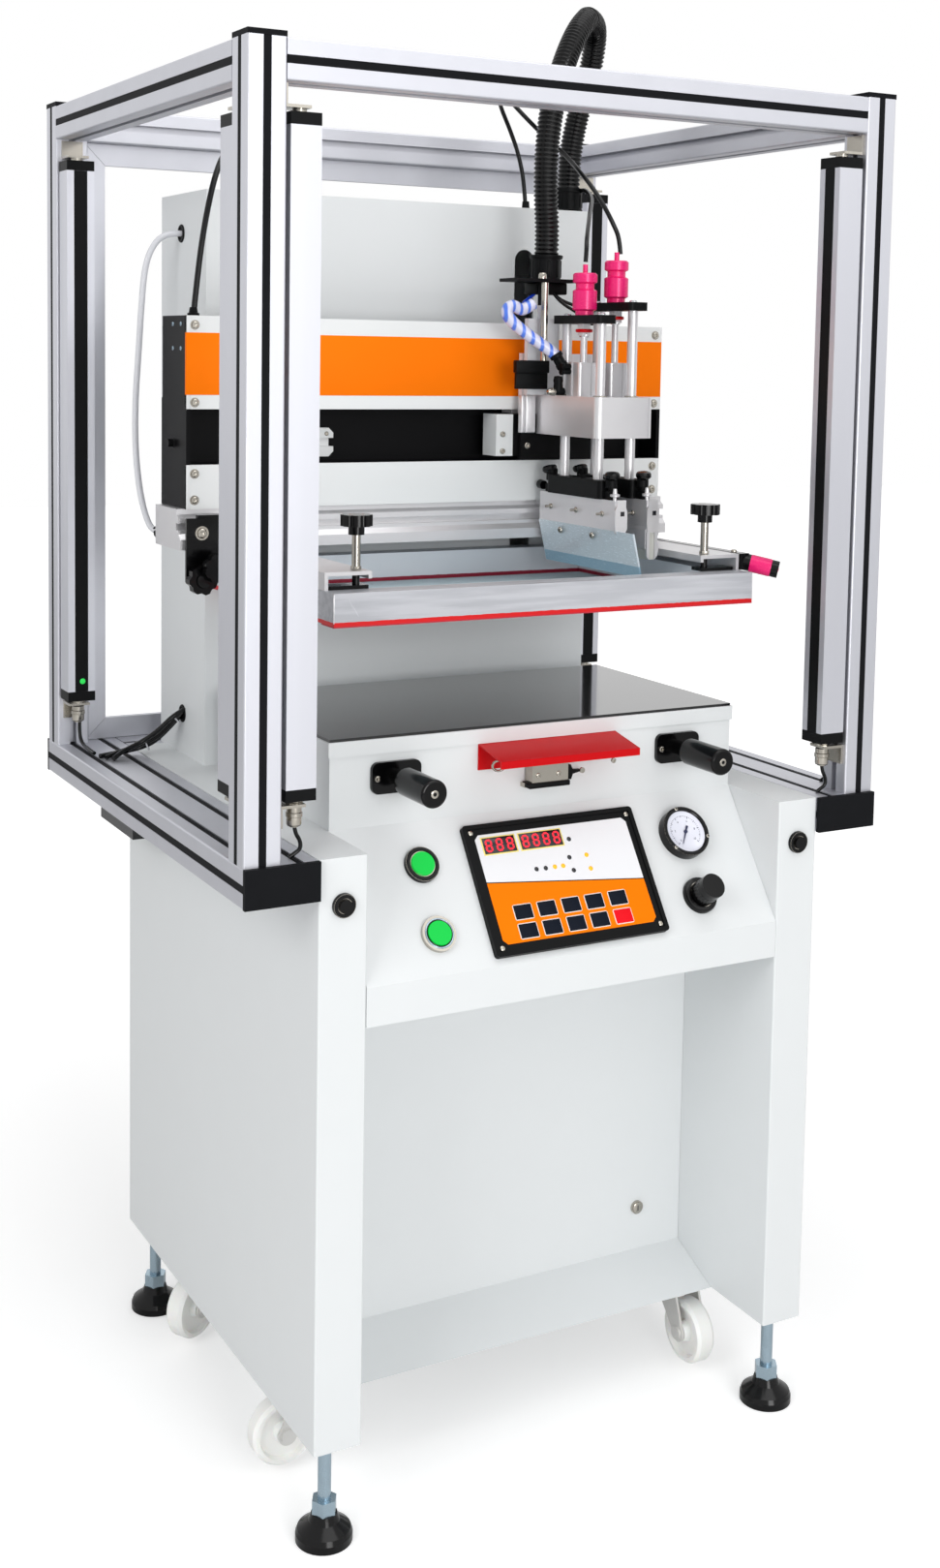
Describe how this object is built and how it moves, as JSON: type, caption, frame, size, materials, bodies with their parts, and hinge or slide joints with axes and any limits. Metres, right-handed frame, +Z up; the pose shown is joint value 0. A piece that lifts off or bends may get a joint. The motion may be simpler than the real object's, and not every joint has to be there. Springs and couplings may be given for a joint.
{
  "type": "screen printing machine",
  "caption": "Benchtop-height screen printing machine: cabinet with console, vacuum table, lifting print head with travelling squeegees, inside an aluminium safety frame.",
  "frame": {"origin": "on the floor, below the middle of the machine's width and depth", "axes": "+X to the operator's right, +Y from the operator to the back, +Z up"},
  "size_m": [0.78, 0.6827, 1.663],
  "materials": {
    "black_gloss_sheet": "gloss",
    "black_paint": "satin",
    "black_plastic": "matte",
    "blade_steel": "brushed",
    "castor_steel": "satin",
    "green_lens": "gloss",
    "grey_white_paint": "fine powder coat",
    "nickel_steel": "nickel plated",
    "pink_plastic": "satin",
    "red_paint": "gloss",
    "screen_mesh": "woven",
    "silver_aluminium": "satin anodised",
    "squeegee_rubber": "matte",
    "white_nylon": "satin"
  },
  "bodies": {
    "machine": {"cabinet_core": "grey_white_paint", "cabinet_sides": "grey_white_paint", "column_front": "grey_white_paint", "column_guides": "nickel_steel", "column_shell": "grey_white_paint", "console_housing": "grey_white_paint", "control_panel": "black_plastic", "curtain_bodies": "silver_aluminium", "curtain_windows": "black_plastic", "foot_bases": "black_plastic", "frame_base_beams": "silver_aluminium", "frame_brackets": "nickel_steel", "frame_posts": "silver_aluminium", "frame_top_beams": "silver_aluminium", "frame_trim": "black_plastic", "hose_rear": "black_plastic", "hose_socket": "black_plastic", "micro_switch": "nickel_steel", "panel_bezels": "nickel_steel", "rear_panel_frame": "silver_aluminium", "red_cover": "red_paint", "table_box": "grey_white_paint", "table_grips": "black_plastic", "table_top": "black_gloss_sheet", "under_mounts": "nickel_steel"},
    "print_head": {"head_housing": "black_paint", "head_front_plates": "grey_white_paint", "head_slides": "nickel_steel", "screen_bar": "silver_aluminium", "screen_arms": "silver_aluminium", "screen_clamps": "black_plastic", "screen_frame": "silver_aluminium", "screen_mesh": "screen_mesh"},
    "carriage": {"carriage_block": "silver_aluminium", "carriage_bracket": "black_paint", "carriage_cylinders": "silver_aluminium", "hose_stand": "silver_aluminium", "hose_front": "black_plastic"},
    "flood_unit": {"flood_holder": "silver_aluminium", "flood_clamps": "black_plastic", "flood_adjuster": "pink_plastic", "flood_blade": "blade_steel"},
    "squeegee_unit": {"squeegee_holder": "silver_aluminium", "squeegee_clamps": "black_plastic", "squeegee_adjuster": "pink_plastic", "squeegee_rubber": "squeegee_rubber"},
    "button_start_body": {"button_start": "green_lens"},
    "button_power_body": {"button_power": "green_lens"},
    "button_head_body": {"button_head": "black_plastic"},
    "button_vacuum_body": {"button_vacuum": "black_plastic"},
    "regulator": {"regulator_knob": "black_plastic"},
    "castor_fork_front_left_body": {"castor_fork_front_left": "castor_steel"},
    "castor_wheel_front_left_body": {"castor_wheel_front_left": "white_nylon"},
    "castor_fork_front_right_body": {"castor_fork_front_right": "castor_steel"},
    "castor_wheel_front_right_body": {"castor_wheel_front_right": "white_nylon"},
    "castor_fork_rear_left_body": {"castor_fork_rear_left": "castor_steel"},
    "castor_wheel_rear_left_body": {"castor_wheel_rear_left": "white_nylon"},
    "castor_fork_rear_right_body": {"castor_fork_rear_right": "castor_steel"},
    "castor_wheel_rear_right_body": {"castor_wheel_rear_right": "white_nylon"}
  },
  "joints": [
    {"name": "head_lift", "type": "slide", "parent": "machine", "child": "print_head", "axis": [0, 0, 1], "range_m": [-0.115, 0]},
    {"name": "carriage_traverse", "type": "slide", "parent": "print_head", "child": "carriage", "axis": [1, 0, 0], "range_m": [-0.3, 0]},
    {"name": "flood_lift", "type": "slide", "parent": "carriage", "child": "flood_unit", "axis": [0, 0, 1], "range_m": [-0.018, 0]},
    {"name": "squeegee_lift", "type": "slide", "parent": "carriage", "child": "squeegee_unit", "axis": [0, 0, 1], "range_m": [-0.03, 0]},
    {"name": "button_start_press", "type": "slide", "parent": "machine", "child": "button_start_body", "axis": [0, 0.8171, -0.5764], "range_m": [0, 0.003], "stiffness_N_per_m": 600},
    {"name": "button_power_press", "type": "slide", "parent": "machine", "child": "button_power_body", "axis": [0, 0.8171, -0.5764], "range_m": [0, 0.003], "stiffness_N_per_m": 600},
    {"name": "button_head_press", "type": "slide", "parent": "machine", "child": "button_head_body", "axis": [0, 1, 0], "range_m": [0, 0.003], "stiffness_N_per_m": 600},
    {"name": "button_vacuum_press", "type": "slide", "parent": "machine", "child": "button_vacuum_body", "axis": [0, 1, 0], "range_m": [0, 0.003], "stiffness_N_per_m": 600},
    {"name": "regulator_turn", "type": "hinge", "parent": "machine", "child": "regulator", "pos_m": [0.166, -0.30879, 0.62332], "axis": [0, -0.8171, 0.5764], "range_deg": [-150, 150]},
    {"name": "castor_swivel_front_left", "type": "hinge", "parent": "machine", "child": "castor_fork_front_left_body", "pos_m": [-0.245, -0.173, 0.105], "axis": [0, 0, 1], "continuous": true},
    {"name": "castor_roll_front_left", "type": "hinge", "parent": "castor_fork_front_left_body", "child": "castor_wheel_front_left_body", "pos_m": [-0.277, -0.173, 0.0465], "axis": [0, -1, 0], "continuous": true},
    {"name": "castor_swivel_front_right", "type": "hinge", "parent": "machine", "child": "castor_fork_front_right_body", "pos_m": [0.245, -0.173, 0.105], "axis": [0, 0, 1], "continuous": true},
    {"name": "castor_roll_front_right", "type": "hinge", "parent": "castor_fork_front_right_body", "child": "castor_wheel_front_right_body", "pos_m": [0.245, -0.205, 0.0465], "axis": [1, 0, 0], "continuous": true},
    {"name": "castor_swivel_rear_left", "type": "hinge", "parent": "machine", "child": "castor_fork_rear_left_body", "pos_m": [-0.245, 0.137, 0.105], "axis": [0, 0, 1], "continuous": true},
    {"name": "castor_roll_rear_left", "type": "hinge", "parent": "castor_fork_rear_left_body", "child": "castor_wheel_rear_left_body", "pos_m": [-0.27271, 0.121, 0.0465], "axis": [0.5, -0.866, 0], "continuous": true},
    {"name": "castor_swivel_rear_right", "type": "hinge", "parent": "machine", "child": "castor_fork_rear_right_body", "pos_m": [0.245, 0.137, 0.105], "axis": [0, 0, 1], "continuous": true},
    {"name": "castor_roll_rear_right", "type": "hinge", "parent": "castor_fork_rear_right_body", "child": "castor_wheel_rear_right_body", "pos_m": [0.261, 0.16471, 0.0465], "axis": [-0.866, 0.5, 0], "continuous": true}
  ]
}
